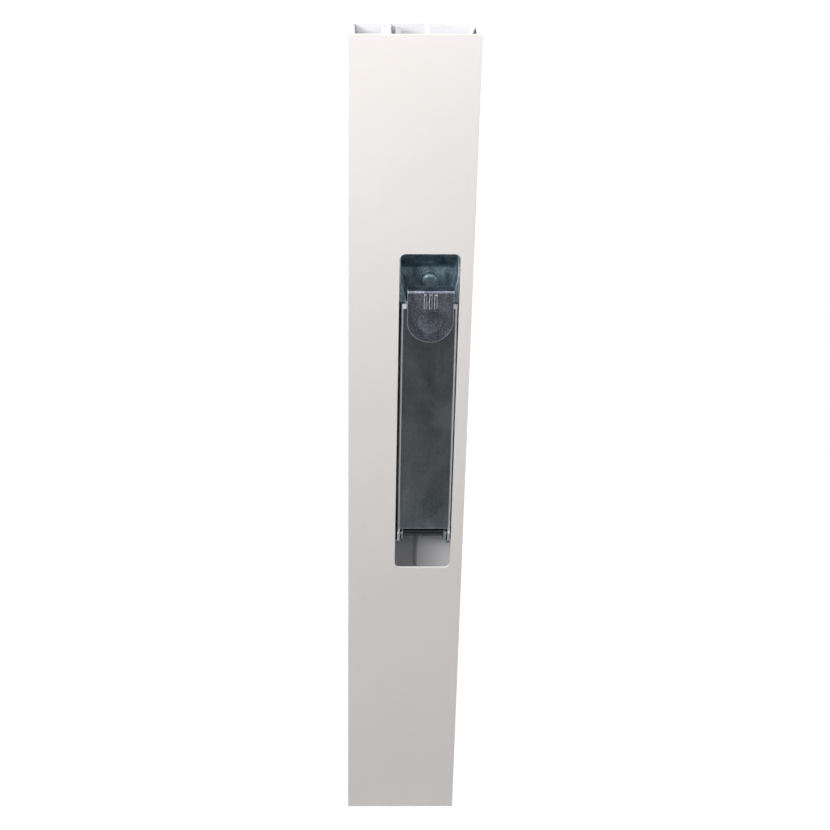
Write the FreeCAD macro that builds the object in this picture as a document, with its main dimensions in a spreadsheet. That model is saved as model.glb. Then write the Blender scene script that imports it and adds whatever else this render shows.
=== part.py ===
import FreeCAD, Part
import math
import os
import re

import Sketcher

# Espagnolette bolt built into a white extruded post.
# Frame: origin at the bottom centre of the post's box, +Z up the post, +X to the right seen from
# the front, the front face towards -Y. All sizes are in millimetres.

doc = FreeCAD.newDocument("espagnolette_bolt")
sheet = doc.addObject("Spreadsheet::Sheet", "Sizes")
SIZES = {
    # Post: a hollow section with a wide front plate and a narrower box behind it
    "post_wide": 100,  # front plate, edge to edge
    "post_deep": 36,  # front face to the deeper part of the back
    "post_tall": 740,  # length of the section
    "front_wall": 2.5,  # front plate
    "back_wall": 2.5,  # back plate
    "side_wall": 2,  # side walls and inner webs
    "left_inset": 2.5,  # front plate past the box on the left
    "right_inset": 2,  # front plate past the box on the right
    "back_step": 4,  # how much shallower the right part of the back is
    "step_x": 8.4,  # where the back starts to step
    "step_run": 3.7,  # width of the slanted step
    "step_shift": 0.1,  # inside of the step against its outside
    "web_x": -19,  # middle of the web left of the rods
    "corner_front_x": 40.3,  # slanted corner web, its left face at the front plate
    "corner_back_x": 45,  # slanted corner web, its left face at the back plate
    "corner_round": 2.5,  # rounded right rear corner
    "port_x": -21,  # screw port
    "port_in": 7.5,  # middle of the screw port in front of the back wall
    "port_bore": 4.8,  # screw port, diameter of the bore
    "port_wall": 1.5,  # screw port, wall
    "port_slit": 2.2,  # screw port, slit
    # Hand slot in the front plate
    "slot_x": 15.3,  # middle of the slot
    "slot_wide": 48.8,  # slot, side to side
    "slot_low": 28.2,  # slot, lower edge below the spindle
    "slot_tall": 294.8,  # slot, top to bottom
    "slot_round": 5,  # slot, corner radius
    # Lever and its spindle
    "lock_x": 15.9,  # middle of the lever and the lock
    "pivot_up": 299,  # spindle above the foot
    "pivot_back": 16,  # spindle behind the front face
    "lever_wide": 46,  # lever, outside
    "lever_sheet": 2,  # lever, sheet thickness
    "lever_sunk": 3.5,  # lever's front behind the post's front
    "lever_deep": 15,  # lever, depth of the side flanges
    "lever_foot": 10,  # lower edge of the lever's front above the spindle
    "lever_reach": 221.7,  # upper edge of the lever above the spindle
    "lever_bend": 2,  # outside radius of the lever's bends
    "tab_wide": 4.2,  # small tab folded in at the foot of each flange
    "tab_down": 3.5,  # tab below the lever's front
    "tab_deep": 4.8,  # tab, front to back
    "ear_radius": 10.5,  # round ends of the flanges about the spindle
    "spindle_dia": 8,  # spindle
    "spindle_flats": 6.4,  # spindle, across its two flats
    "flat_gap": 0.05,  # clearance on each flat
    "running_gap": 0.05,  # radial clearance of the bores that turn
    "clip_thick": 1.2,  # retaining clips
    "clip_dia": 13,  # retaining clips, outside
    "clip_groove": 6.4,  # diameter left in the clip grooves
    "end_gap": 0.2,  # gap beside a part that turns
    "clip_margin": 0.9,  # spindle past its clips
    # Rods, racks and pinion
    "rod_x": -12.9,  # middle of the rods and the pinion
    "rod_thick": 4,  # rods, across
    "rod_front": 3,  # front edge of the rods behind the post's front
    "rod_deep": 26,  # rods, front edge to back edge
    "rod_end_gap": 0.5,  # rod ends inside the ends of the post
    "rod_chamfer": 3,  # bevel of the rod ends
    "gear_module": 1,  # module of the pinion and the racks
    "gear_teeth": 15,  # teeth of the pinion
    "gear_top": 0.85,  # tooth height above the pitch line
    "gear_root": 1.25,  # tooth depth below the pitch line
    "gear_play": 0.12,  # backlash
    "gear_wide": 4.6,  # pinion, face width
    "rack_below": 3,  # tooth gaps past the pinion on its lower or upper side
    "rack_beyond": 8,  # tooth gaps in the direction that the rack brings to the pinion
    "leg_past": 5,  # rack leg past its last tooth gap
    "leg_shoulder": 51,  # rod's full depth starts this far from the spindle
    # Lock case
    "case_sheet": 1.5,  # case, sheet thickness
    "case_narrow": 39.2,  # case inside the lever
    "case_head": 49.4,  # case above the lever
    "head_x": 14.9,  # middle of the case above the lever
    "case_foot": 6.4,  # lower edge of the case below the spindle
    "case_cheek": 10.5,  # depth of the case's low cheeks
    "lip_deep": 6,  # lip folded forward at the foot of the case
    "taper_low": 0.5,  # lower end of the slanted shoulders above the lever
    "taper_high": 20.3,  # upper end of the slanted shoulders above the lever
    "shoulder_sunk": 7,  # shoulders behind the post's front
    "shoulder_over": 0.3,  # shoulders past the slot's edge
    "roof_low": 24.3,  # roof of the case at its back above the lever
    "roof_high": 48.8,  # roof of the case at its front above the lever
    "roof_bend": 5,  # inside radius of the bend between back and roof
    "case_top": 69.3,  # upper edge of the case above the lever
    "case_gap": 0.3,  # case behind the front plate and the lever
    "stop_low": -11.7,  # lower end of the stops behind the lever, against its upper edge
    "case_ear": 8.5,  # case round the spindle, radius
    "boss_wide": 15,  # pressed boss in the back of the case
    "boss_x": 16.6,  # middle of the boss
    "boss_high": 5,  # how far the boss stands out
    "boss_low": 3.3,  # lower end of the boss above the lever
    "boss_top": 19.3,  # upper end of the boss above the lever
    "boss_round": 3.5,  # rounded edge of the boss
    # Bushes in the case
    "bush_wall": 1.5,  # bush, wall
    "bush_tail": 0.8,  # bush past the inside of the case
    "bush_flange": 15,  # bush, flange diameter
    # Catch
    "catch_x": 16.6,  # middle of the catch
    "catch_wide": 37.7,  # catch flap, side to side
    "catch_sheet": 1.5,  # catch flap, sheet thickness
    "catch_top": 12.6,  # fold of the catch flap above the lever
    "catch_long": 44.7,  # catch flap, fold to its round end
    "catch_sunk": 1.7,  # fold of the catch flap behind the post's front
    "catch_lean": 2,  # lean of the catch flap, degrees
    "catch_fold": 9,  # depth of the flap's folded top behind the leaf
    "catch_bend": 3,  # outside radius of the fold
    "catch_pin_up": 3.3,  # catch pin above the lever
    "catch_pin_back": 8.5,  # catch pin behind the post's front
    "catch_pin_dia": 5,  # catch pin
    "catch_eye": 4.2,  # round of the flap's ears about the pin, radius
    "ear_inset": 0.8,  # sides of the ears inside the round about the pin
    "catch_ears": 27,  # flap's ears, outside to outside
    "catch_ear_sheet": 2,  # flap's ears, thickness
    "rib_long": 12,  # grip ribs, length
    "rib_wide": 2,  # grip ribs, width
    "rib_high": 0.6,  # grip ribs, height
    "rib_apart": 4.2,  # grip ribs, spacing
    "rib_down": 3.2,  # grip ribs below the fold
    "dish_dia": 20,  # thumb dish
    "dish_down": 26.8,  # middle of the thumb dish below the fold
    "dish_deep": 0.8,  # thumb dish, depth
    "lip_gap": 1.2,  # hook's nose behind the strike's lip
    "nose_thick": 2.8,  # hook, nose thickness
    "nose_bite": 2.5,  # how far the nose stands up behind the strike's lip
    "hook_thick": 4.3,  # hook, depth of its arm
    "hook_play": 0.5,  # gap between the hook's arm and the lip
    # Bracket that carries the catch on the lever
    "bracket_wide": 32.6,  # bracket, outside to outside
    "bracket_sheet": 1.6,  # bracket, sheet thickness
    "bracket_low": -30.7,  # bracket, lower edge against the lever's upper edge
    "bracket_high": -10.7,  # bracket, upper edge of its base against the lever's upper edge
    "bracket_ear": 4.3,  # bracket, round about the pin, radius
    "pin_over": 0.2,  # catch pin past the bracket
    # Strike on the back of the case
    "strike_wide": 30,  # strike, side to side
    "strike_sheet": 1.8,  # strike, sheet thickness
    "strike_low": -20.7,  # strike, lower edge against the lever's upper edge
    "strike_top": 2.3,  # strike, upper face above the lever
    "strike_lip": 5.2,  # strike, height of its turned-down lip
    "strike_reach": 11.3,  # strike, how far it stands out from the case
    # Spring on the catch pin
    "wire": 1,  # spring wire
    "spring_gap": 0.4,  # spring off the pin
    "spring_turns": 5,  # turns
    "spring_pitch": 2.4,  # rise of one turn
    # Rivets and screws
    "rivet_dia": 4,  # rivets, shank
    "rivet_head": 7,  # rivets, head diameter
    "rivet_high": 1.2,  # rivets, head height
    "hole_gap": 0.1,  # radial clearance of rivets and screws
    "case_rivet_low": 31,  # lowest rivet of the case above the spindle
    "case_rivet_apart": 70,  # spacing of the three rivets behind the lever
    "case_rivet_high": 10,  # rivet above the roof, below the upper edge of the case
    "strike_rivet_up": -13.7,  # strike rivets against the lever's upper edge
    "strike_rivet_apart": 18,  # spacing of the strike rivets
    "bracket_rivet_up": -20.7,  # bracket rivets against the lever's upper edge
    "bracket_rivet_apart": 16,  # spacing of the bracket rivets
    "screw_dia": 4,  # guide screws, shank
    "screw_head": 8,  # guide screws, head diameter
    "screw_sink": 2,  # guide screws, head height
    "screw_long": 5.8,  # guide screws, length under the back of the post
    "drive_wide": 2.6,  # socket of the guide screws, corner to corner
    "drive_deep": 1.2,  # depth of the socket
    # Rod guides
    "guide_tall": 28,  # guides, height
    "guide_wall": 1.75,  # guides, wall beside the rod
    "guide_thick_side": 2.35,  # guides, wall on the lock's side
    "guide_gap": 0.2,  # guides off the post's walls
    "slide_gap": 0.25,  # rod in its guide
    "guide_upper_top": 0.76,  # middle of the highest guide, from the case (0) to the post's end (1)
    "guide_upper_mid": 10,  # lower end of the second guide above the case
    "guide_lower_mid": 77,  # lower end of the third guide below the spindle
    "guide_lower_end": 38,  # lower end of the lowest guide above the foot
}
# Heights above the foot that follow from the sizes
HEIGHTS = {
    "z_lever_top": "pivot_up + lever_reach",
    "z_slot_low": "pivot_up - slot_low",
    "z_taper_low": "z_lever_top + taper_low",
    "z_taper_high": "z_lever_top + taper_high",
    "z_roof_low": "z_lever_top + roof_low",
    "z_roof_high": "z_lever_top + roof_high",
    "z_case_top": "z_lever_top + case_top",
    "z_stop_low": "z_lever_top + stop_low",
    "z_boss_low": "z_lever_top + boss_low",
    "z_boss_top": "z_lever_top + boss_top",
    "z_catch_top": "z_lever_top + catch_top",
    "z_catch_pin_up": "z_lever_top + catch_pin_up",
    "z_bracket_low": "z_lever_top + bracket_low",
    "z_bracket_high": "z_lever_top + bracket_high",
    "z_strike_low": "z_lever_top + strike_low",
    "z_strike_top": "z_lever_top + strike_top",
    "z_strike_rivet_up": "z_lever_top + strike_rivet_up",
    "z_bracket_rivet_up": "z_lever_top + bracket_rivet_up",
    "z_case_rivet_low": "pivot_up + case_rivet_low",
    "z_case_rivet_high": "z_case_top - case_rivet_high",
    "z_guide_upper_top": "z_case_top + guide_upper_top * (post_tall - z_case_top) - guide_tall / 2",
    "z_guide_upper_mid": "z_case_top + guide_upper_mid",
    "z_guide_lower_mid": "pivot_up - guide_lower_mid",
}
PARTS = []
CELLS = [(alias, str(number)) for alias, number in SIZES.items()]
CELLS += [(alias, "=" + text) for alias, text in HEIGHTS.items()]
for row, (alias, content) in enumerate(CELLS, 1):
    sheet.set("A%d" % row, alias)
    sheet.set("B%d" % row, content)
    sheet.setAlias("B%d" % row, alias)
doc.recompute()


def level(alias):
    """Height in the sheet, for the tests that pick edges."""
    return float(sheet.get(alias))


def link(text):
    """Turns size names in an expression into references to the sheet; functions stay as they are."""
    return re.sub(r"\b[a-z][a-z0-9_]*\b(?!\()", lambda word: "Sizes." + word.group(0), text)


def bind(item, path, text):
    item.setExpression(path, link(text))


# Places that several pieces share, written as expressions of the sizes
FACE = "(-post_deep / 2)"
INSIDE = "(-post_deep / 2 + front_wall)"
BACK = "(post_deep / 2)"
BACK_IN = "(post_deep / 2 - back_wall)"
SHALLOW = "(post_deep / 2 - back_step)"
SHALLOW_IN = "(post_deep / 2 - back_step - back_wall)"
PIVOT_Y = "(-post_deep / 2 + pivot_back)"
LEVER_FRONT = "(-post_deep / 2 + lever_sunk)"
LEVER_BACK = "(-post_deep / 2 + lever_sunk + lever_sheet)"
CASE_FRONT = "(post_deep / 2 - back_step - back_wall - case_sheet)"
PIN_Y = "(-post_deep / 2 + catch_pin_back)"
ROD_FRONT = "(-post_deep / 2 + rod_front)"
ROD_BACK = "(-post_deep / 2 + rod_front + rod_deep)"
PITCH_RADIUS = "(gear_module * gear_teeth / 2)"
SPINDLE_LEFT = "(rod_x - gear_wide / 2 - end_gap - clip_thick - clip_margin)"
SPINDLE_RIGHT = "(lock_x + lever_wide / 2 + end_gap + clip_thick + clip_margin)"


def place(item, text):
    """Names a finished piece and puts it on the list of parts."""
    item.Label = text
    PARTS.append(item)
    return item


def new_body(name):
    return place(doc.addObject("PartDesign::Body", name + "_body"), name)


def origin_plane(body, role):
    return [item for item in body.Origin.OriginFeatures if item.Role == role][0]


def sketch_on(body, role, offset):
    """Sketch on one of the body's planes: plan (XY), front (XZ, seen from the front) or side (YZ)."""
    planes = {"plan": ("XY_Plane", "%s"), "front": ("XZ_Plane", "-(%s)"), "side": ("YZ_Plane", "%s")}
    plane, turn = planes[role]
    sketch = body.newObject("Sketcher::SketchObject", "Sketch")
    sketch.AttachmentSupport = (origin_plane(body, plane), [""])
    sketch.MapMode = "FlatFace"
    bind(sketch, "AttachmentOffset.Base.z", turn % offset)
    return sketch


def outline(sketch, corners):
    """Closed outline of straight lines; every corner is held by two sizes."""
    count = len(corners)
    first = sketch.GeometryCount
    start = [FreeCAD.Vector(math.cos(math.tau * i / count), math.sin(math.tau * i / count), 0)
             for i in range(count)]
    for i in range(count):
        sketch.addGeometry(Part.LineSegment(start[i], start[(i + 1) % count]), False)
    for i in range(count):
        sketch.addConstraint(Sketcher.Constraint("Coincident", first + i, 2, first + (i + 1) % count, 1))
    for i, (across, up) in enumerate(corners):
        for kind, text in (("DistanceX", across), ("DistanceY", up)):
            number = sketch.addConstraint(Sketcher.Constraint(kind, -1, 1, first + i, 1, 1.0))
            bind(sketch, "Constraints[%d]" % number, text)


def box_outline(sketch, left, right, low, high):
    outline(sketch, [(left, low), (right, low), (right, high), (left, high)])


def circle(sketch, across, up, radius):
    number = sketch.addGeometry(Part.Circle(FreeCAD.Vector(1, 1, 0), FreeCAD.Vector(0, 0, 1), 1), False)
    for kind, text in (("DistanceX", across), ("DistanceY", up)):
        held = sketch.addConstraint(Sketcher.Constraint(kind, -1, 1, number, 3, 1.0))
        bind(sketch, "Constraints[%d]" % held, text)
    held = sketch.addConstraint(Sketcher.Constraint("Radius", number, 1.0))
    bind(sketch, "Constraints[%d]" % held, radius)


def pad(body, sketch, length, backwards=False):
    feature = body.newObject("PartDesign::Pad", "Pad")
    feature.Profile = sketch
    feature.Reversed = backwards
    bind(feature, "Length", length)
    return feature


def pocket(body, sketch, length, backwards=False):
    feature = body.newObject("PartDesign::Pocket", "Pocket")
    feature.Profile = sketch
    feature.Reversed = backwards
    bind(feature, "Length", length)
    return feature


def row_of(body, feature, axis, count, spacing):
    """Repeats a feature along one axis of its sketch."""
    pattern = body.newObject("PartDesign::LinearPattern", "Row")
    pattern.Originals = [feature]
    pattern.Direction = (feature.Profile[0], [axis])
    bind(pattern, "Length", "(%s - 1) * (%s)" % (count, spacing))
    bind(pattern, "Occurrences", count)
    body.Tip = pattern
    return pattern


def fillet(body, base, chosen, radius):
    """Rounds the edges of the last feature that the test picks out."""
    doc.recompute()
    names = ["Edge%d" % (i + 1) for i, edge in enumerate(base.Shape.Edges) if chosen(edge)]
    feature = body.newObject("PartDesign::Fillet", "Fillet")
    feature.Base = (base, names)
    bind(feature, "Radius", radius)
    return feature


def runs_along(edge, axis):
    """True for a straight edge parallel to the axis."""
    if len(edge.Vertexes) != 2:
        return False
    run = edge.Vertexes[1].Point - edge.Vertexes[0].Point
    return run.Length > 0 and abs(abs(run.normalize().dot(axis)) - 1) < 1e-6


def near(value, target):
    return abs(value - target) < 0.01


def cylinder(name, radius, x, y, z, length, direction):
    """Round bar that starts at x, y, z and runs along +X or towards +Y."""
    item = doc.addObject("Part::Cylinder", name)
    turns = {"x": FreeCAD.Rotation(FreeCAD.Vector(0, 1, 0), 90),
             "y": FreeCAD.Rotation(FreeCAD.Vector(1, 0, 0), -90)}
    item.Placement = FreeCAD.Placement(FreeCAD.Vector(0, 0, 0), turns[direction])
    bind(item, "Radius", radius)
    bind(item, "Height", length)
    bind(item, "Placement.Base.x", x)
    bind(item, "Placement.Base.y", y)
    bind(item, "Placement.Base.z", z)
    return item


def cone(name, radius_start, radius_end, x, y, z, length):
    """Cone that starts at x, y, z and runs towards +Y."""
    item = doc.addObject("Part::Cone", name)
    item.Placement = FreeCAD.Placement(FreeCAD.Vector(0, 0, 0), FreeCAD.Rotation(FreeCAD.Vector(1, 0, 0), -90))
    bind(item, "Radius1", radius_start)
    bind(item, "Radius2", radius_end)
    bind(item, "Height", length)
    bind(item, "Placement.Base.x", x)
    bind(item, "Placement.Base.y", y)
    bind(item, "Placement.Base.z", z)
    return item


def fuse(name, items):
    item = doc.addObject("Part::MultiFuse", name)
    item.Shapes = items
    return item


def cut(name, base, tool):
    item = doc.addObject("Part::Cut", name)
    item.Base = base
    item.Tool = tool
    return item


def group(name, items):
    item = doc.addObject("Part::Compound", name + "_group")
    item.Links = items
    return place(item, name)


# The two guides of each rod, and the height of each guide's screw
GUIDES = [("upper_guide_top", "z_guide_upper_top"), ("upper_guide_middle", "z_guide_upper_mid"),
          ("lower_guide_middle", "z_guide_lower_mid"), ("lower_guide_bottom", "guide_lower_end")]
SCREW_HEIGHTS = ["(%s + guide_tall / 2)" % low for name, low in GUIDES]
CASE_RIVET_HEIGHTS = ["z_case_rivet_low", "(z_case_rivet_low + case_rivet_apart)",
                      "(z_case_rivet_low + 2 * case_rivet_apart)", "z_case_rivet_high"]


def make_post():
    """Extruded section with its chambers and screw port, then the milled slot and the back holes."""
    body = new_body("post_profile")
    section = sketch_on(body, "plan", "0")
    outline(section, [
        ("-post_wide / 2", FACE),
        ("post_wide / 2", FACE),
        ("post_wide / 2", INSIDE),
        ("post_wide / 2 - right_inset", INSIDE),
        ("post_wide / 2 - right_inset", SHALLOW),
        ("step_x + step_run", SHALLOW),
        ("step_x", BACK),
        ("-post_wide / 2 + left_inset", BACK),
        ("-post_wide / 2 + left_inset", INSIDE),
        ("-post_wide / 2", INSIDE)])
    solid = pad(body, section, "post_tall")

    right = SIZES["post_wide"] / 2 - SIZES["right_inset"]
    rear = SIZES["post_deep"] / 2 - SIZES["back_step"]
    fillet(body, solid, lambda edge: runs_along(edge, FreeCAD.Vector(0, 0, 1))
           and near(edge.CenterOfMass.x, right) and near(edge.CenterOfMass.y, rear), "corner_round")

    # Left chamber, main chamber and the narrow one outside the slanted corner web
    chambers = sketch_on(body, "plan", "0")
    box_outline(chambers, "-post_wide / 2 + left_inset + side_wall", "web_x - side_wall / 2", INSIDE, BACK_IN)
    outline(chambers, [
        ("web_x + side_wall / 2", INSIDE),
        ("corner_front_x", INSIDE),
        ("corner_back_x", SHALLOW_IN),
        ("step_x + step_run - step_shift", SHALLOW_IN),
        ("step_x - step_shift", BACK_IN),
        ("web_x + side_wall / 2", BACK_IN)])
    slope = "((corner_back_x - corner_front_x) / (post_deep - back_step - back_wall - front_wall))"
    outer = "(post_wide / 2 - right_inset - side_wall)"
    outline(chambers, [
        ("corner_front_x + 1.1 * side_wall", INSIDE),
        (outer, INSIDE),
        (outer, INSIDE + " + (%s - corner_front_x - 1.1 * side_wall) / %s" % (outer, slope))])
    pocket(body, chambers, "post_tall", backwards=True)

    # Screw port: a split tube on the web
    port_y = "(post_deep / 2 - back_wall - port_in)"
    tube = sketch_on(body, "plan", "0")
    circle(tube, "port_x", port_y, "port_bore / 2 + port_wall")
    pad(body, tube, "post_tall")
    bore = sketch_on(body, "plan", "0")
    circle(bore, "port_x", port_y, "port_bore / 2")
    pocket(body, bore, "post_tall", backwards=True)
    slit = sketch_on(body, "plan", "0")
    box_outline(slit, "port_x - port_bore / 2 - port_wall - 1", "port_x - port_bore / 4",
                port_y + " - port_slit / 2", port_y + " + port_slit / 2")
    pocket(body, slit, "post_tall", backwards=True)

    # Hand slot
    opening = sketch_on(body, "front", FACE)
    box_outline(opening, "slot_x - slot_wide / 2", "slot_x + slot_wide / 2", "z_slot_low", "z_slot_low + slot_tall")
    slot = pocket(body, opening, "front_wall")
    half = SIZES["slot_wide"] / 2
    low = level("z_slot_low")
    high = low + SIZES["slot_tall"]
    fillet(body, slot, lambda edge: runs_along(edge, FreeCAD.Vector(0, 1, 0))
           and near(abs(edge.CenterOfMass.x - SIZES["slot_x"]), half)
           and (near(edge.CenterOfMass.z, low) or near(edge.CenterOfMass.z, high)), "slot_round")

    # Rivet holes of the lock case, through the shallower part of the back
    rivets = sketch_on(body, "front", SHALLOW)
    for height in CASE_RIVET_HEIGHTS:
        circle(rivets, "lock_x", height, "rivet_dia / 2 + hole_gap")
    pocket(body, rivets, "back_wall", backwards=True)

    # Countersunk holes of the guide screws, through the deeper part of the back
    for height in SCREW_HEIGHTS:
        profile = sketch_on(body, "side", "rod_x")
        bind(profile, "AttachmentOffset.Base.y", height)
        outline(profile, [
            (BACK, "0"),
            (BACK, "screw_head / 2 + hole_gap"),
            (BACK + " - screw_sink", "screw_dia / 2 + hole_gap"),
            (BACK_IN, "screw_dia / 2 + hole_gap"),
            (BACK_IN, "0")])
        sink = body.newObject("PartDesign::Groove", "Countersink")
        sink.Profile = profile
        sink.ReferenceAxis = (profile, ["H_Axis"])
        sink.Angle = 360
    return body


def make_case():
    """Pressed lock case: back plate, low cheeks, ears round the spindle, shoulders and a sloping roof."""
    body = new_body("lock_case")
    narrow = "case_narrow / 2"
    head = "case_head / 2"
    foot = "(pivot_up - case_foot)"
    back = sketch_on(body, "front", SHALLOW_IN)
    outline(back, [
        ("lock_x - " + narrow, foot),
        ("lock_x + " + narrow, foot),
        ("lock_x + " + narrow, "z_taper_low"),
        ("head_x + " + head, "z_taper_high"),
        ("head_x + " + head, "z_case_top"),
        ("head_x - " + head, "z_case_top"),
        ("head_x - " + head, "z_taper_high"),
        ("lock_x - " + narrow, "z_taper_low")])
    pad(body, back, "case_sheet")
    lip = sketch_on(body, "front", CASE_FRONT)
    box_outline(lip, "lock_x - " + narrow, "lock_x + " + narrow, foot, foot + " + case_sheet")
    pad(body, lip, "lip_deep")

    # Cheeks, shoulders and ears, the same on both sides
    for side in ("-", "+"):
        inner = "lock_x %s (%s - case_sheet)" % (side, narrow)
        outer = "lock_x %s %s" % (side, narrow)
        head_inner = "head_x %s (%s - case_sheet)" % (side, head)
        head_outer = "head_x %s %s" % (side, head)

        cheek = sketch_on(body, "front", SHALLOW_IN)
        outline(cheek, [(inner, foot), (outer, foot), (outer, "z_taper_low"), (inner, "z_taper_low")])
        pad(body, cheek, "case_cheek")

        taper = sketch_on(body, "front", SHALLOW_IN)
        outline(taper, [(inner, "z_taper_low"), (outer, "z_taper_low"), (head_outer, "z_taper_high"),
                        (head_inner, "z_taper_high")])
        pad(body, taper, "post_deep - back_step - back_wall - shoulder_sunk")

        shoulder = sketch_on(body, "front", FACE + " + shoulder_sunk + case_sheet")
        outline(shoulder, [(outer, "z_taper_low"), (head_outer, "z_taper_low"), (head_outer, "z_taper_high")])
        pad(body, shoulder, "case_sheet")

        start = {"-": head_outer, "+": head_inner}[side]
        wall = sketch_on(body, "side", start)
        outline(wall, [(SHALLOW_IN, "z_taper_high"), (INSIDE + " + case_gap", "z_taper_high"),
                       (INSIDE + " + case_gap", "z_roof_high"), (CASE_FRONT, "z_roof_low"),
                       (SHALLOW_IN, "z_roof_low")])
        pad(body, wall, "case_sheet")

        start = {"-": outer, "+": inner}[side]
        stop = sketch_on(body, "side", start)
        box_outline(stop, LEVER_BACK + " + case_gap", SHALLOW_IN, "z_stop_low", "z_taper_low")
        pad(body, stop, "case_sheet")

        ear = sketch_on(body, "side", start)
        outline(ear, [(PIVOT_Y, "pivot_up - case_ear"), (SHALLOW_IN, "pivot_up - case_ear"),
                      (SHALLOW_IN, "pivot_up + 3 * case_ear"), (PIVOT_Y + " + case_ear / 2", "pivot_up + 2 * case_ear"),
                      (PIVOT_Y, "pivot_up + case_ear")])
        pad(body, ear, "case_sheet")
        eye = sketch_on(body, "side", start)
        circle(eye, PIVOT_Y, "pivot_up", "case_ear")
        pad(body, eye, "case_sheet")

    # Sloping roof of the head
    roof = sketch_on(body, "side", "head_x - " + head)
    front = INSIDE + " + case_gap"
    outline(roof, [(CASE_FRONT, "z_roof_low"), (front, "z_roof_high"), (front, "z_roof_high + 1.4 * case_sheet"),
                   (CASE_FRONT, "z_roof_low + 1.4 * case_sheet")])
    solid = pad(body, roof, "case_head")
    bend_y = SIZES["post_deep"] / 2 - SIZES["back_step"] - SIZES["back_wall"] - SIZES["case_sheet"]
    fillet(body, solid, lambda edge: runs_along(edge, FreeCAD.Vector(1, 0, 0))
           and near(edge.CenterOfMass.y, bend_y)
           and near(edge.CenterOfMass.z, level("z_roof_low")), "roof_bend")

    # Boss pressed out of the back plate, hollow behind
    for inset, depth in (("0", "boss_high + case_sheet"), ("case_sheet", "boss_high")):
        plate = sketch_on(body, "front", SHALLOW_IN)
        radius = "(boss_wide / 2 - %s)" % inset
        box_outline(plate, "boss_x - " + radius, "boss_x + " + radius,
                    "z_boss_low + " + inset, "z_boss_top - boss_wide / 2")
        dome = sketch_on(body, "front", SHALLOW_IN)
        circle(dome, "boss_x", "z_boss_top - boss_wide / 2", radius)
        if inset == "0":
            pad(body, plate, depth)
            solid = pad(body, dome, depth)
            front_y = (SIZES["post_deep"] / 2 - SIZES["back_step"] - SIZES["back_wall"]
                       - SIZES["case_sheet"] - SIZES["boss_high"])
            fillet(body, solid, lambda edge: near(edge.BoundBox.YMin, front_y)
                   and near(edge.BoundBox.YMax, front_y)
                   and edge.BoundBox.ZMin > level("z_boss_low") + 0.01
                   or runs_along(edge, FreeCAD.Vector(0, 0, 1)) and near(edge.CenterOfMass.y, front_y),
                   "boss_round")
        else:
            pocket(body, plate, depth, backwards=True)
            pocket(body, dome, depth, backwards=True)

    # Holes for the bushes, the rivets and the strike's rivets
    bores = sketch_on(body, "side", "lock_x - case_narrow / 2 - 1")
    circle(bores, PIVOT_Y, "pivot_up", "spindle_dia / 2 + running_gap + bush_wall + running_gap")
    pocket(body, bores, "case_narrow + 2", backwards=True)
    rivets = sketch_on(body, "front", SHALLOW_IN)
    for height in CASE_RIVET_HEIGHTS:
        circle(rivets, "lock_x", height, "rivet_dia / 2 + hole_gap")
    for side in ("-", "+"):
        circle(rivets, "catch_x %s strike_rivet_apart / 2" % side, "z_strike_rivet_up", "rivet_dia / 2 + hole_gap")
    pocket(body, rivets, "case_sheet", backwards=True)
    return body


def make_strike():
    """Plate riveted in the case, with a shelf and a turned-down lip for the hook."""
    body = new_body("strike_plate")
    shape = sketch_on(body, "side", "catch_x - strike_wide / 2")
    base = CASE_FRONT + " - strike_sheet"
    lip = CASE_FRONT + " - strike_reach"
    outline(shape, [
        (CASE_FRONT, "z_strike_low"),
        (CASE_FRONT, "z_strike_top"),
        (lip, "z_strike_top"),
        (lip, "z_strike_top - strike_lip"),
        (lip + " + strike_sheet", "z_strike_top - strike_lip"),
        (lip + " + strike_sheet", "z_strike_top - strike_sheet"),
        (base, "z_strike_top - strike_sheet"),
        (base, "z_strike_low")])
    pad(body, shape, "strike_wide")
    holes = sketch_on(body, "front", CASE_FRONT)
    for side in ("-", "+"):
        circle(holes, "catch_x %s strike_rivet_apart / 2" % side, "z_strike_rivet_up", "rivet_dia / 2 + hole_gap")
    pocket(body, holes, "2 * strike_sheet", backwards=True)
    return body


def rivet(name, x, z, head_y, head_thick, shank_y, shank_long, tail_y, tail_thick):
    """Rivet along Y: a shank with a head at its low-Y end and, where asked, a tail at the other."""
    bars = [cylinder(name + "_shank", "rivet_dia / 2", x, shank_y, z, shank_long, "y")]
    if head_thick:
        bars.append(cone(name + "_head", "rivet_dia / 2", "rivet_head / 2", x, head_y, z, head_thick))
    if tail_thick:
        bars.append(cone(name + "_tail", "rivet_head / 2", "rivet_dia / 2", x, tail_y, z, tail_thick))
    if len(bars) == 1:
        return bars[0]
    return fuse(name, bars)


def make_rivets():
    """Rivets of the case, the strike and the catch bracket."""
    reach = "(back_wall + case_sheet)"
    group("case_rivets", [
        rivet("CaseRivet", "lock_x", height, CASE_FRONT + " - rivet_high", "rivet_high", CASE_FRONT, reach,
              SHALLOW, "rivet_high")
        for height in CASE_RIVET_HEIGHTS])
    group("strike_rivets", [
        rivet("StrikeRivet", "catch_x %s strike_rivet_apart / 2" % side, "z_strike_rivet_up",
              CASE_FRONT + " - strike_sheet - rivet_high", "rivet_high", CASE_FRONT + " - strike_sheet",
              "strike_sheet + case_sheet", "", "")
        for side in ("-", "+")])
    group("bracket_rivets", [
        rivet("BracketRivet", "catch_x %s bracket_rivet_apart / 2" % side, "z_bracket_rivet_up",
              "", "", LEVER_FRONT, "lever_sheet + bracket_sheet", LEVER_BACK + " + bracket_sheet", "rivet_high")
        for side in ("-", "+")])


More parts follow.
